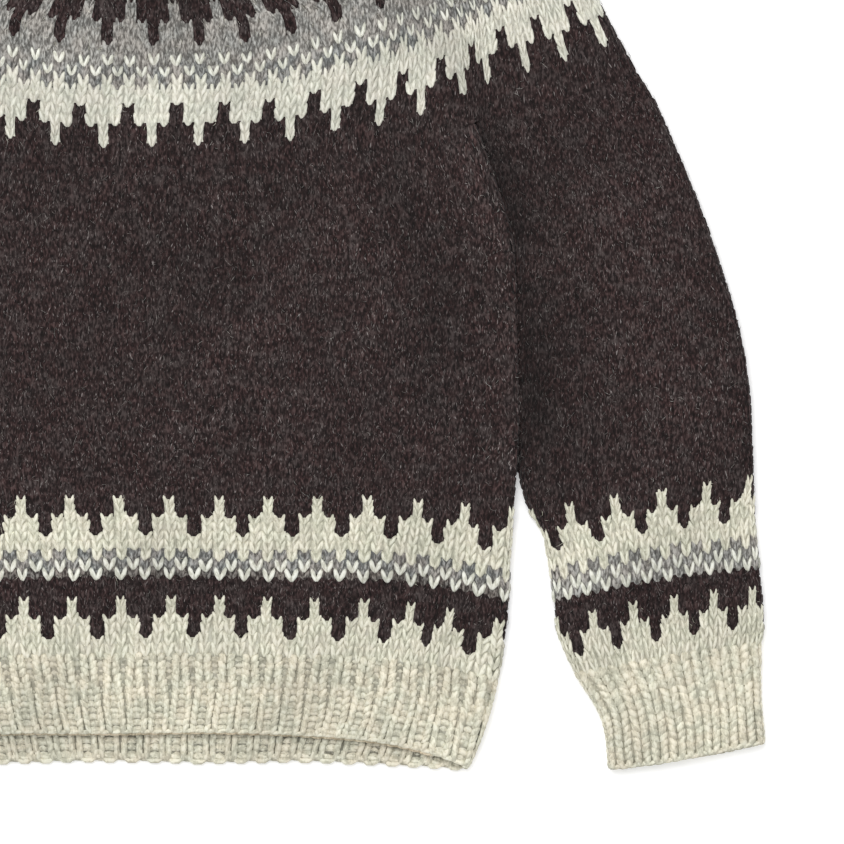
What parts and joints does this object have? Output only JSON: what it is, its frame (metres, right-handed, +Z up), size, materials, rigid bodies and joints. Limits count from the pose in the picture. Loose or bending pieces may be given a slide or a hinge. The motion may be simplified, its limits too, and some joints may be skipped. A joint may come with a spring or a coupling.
{
  "type": "fair isle sweater",
  "caption": "Long-sleeved round-yoke pullover knitted in stranded colourwork, with ribbed hem, cuffs and neckband, laid out flat with its front up.",
  "frame": {"origin": "on the surface the garment lies on, under the middle of its outline, between the sleeves and between hem and neckband", "axes": "+X towards the wearer's left sleeve, +Y from the hem towards the neck, +Z up, out of the garment's front"},
  "size_m": [0.738, 0.608, 0.01],
  "materials": {
    "dark_wool": "matte, fuzzy dark brown heather wool in bulky stocking stitch, with stranded bands in cream, white and two greys",
    "cream_wool": "matte cream wool in one-by-one rib"
  },
  "bodies": {
    "root": {"hem_rib": "cream_wool", "body": "dark_wool", "yoke": "dark_wool", "neckband": "cream_wool", "sleeve_left": "dark_wool", "sleeve_right": "dark_wool", "cuff_left": "cream_wool", "cuff_right": "cream_wool"}
  },
  "joints": []
}
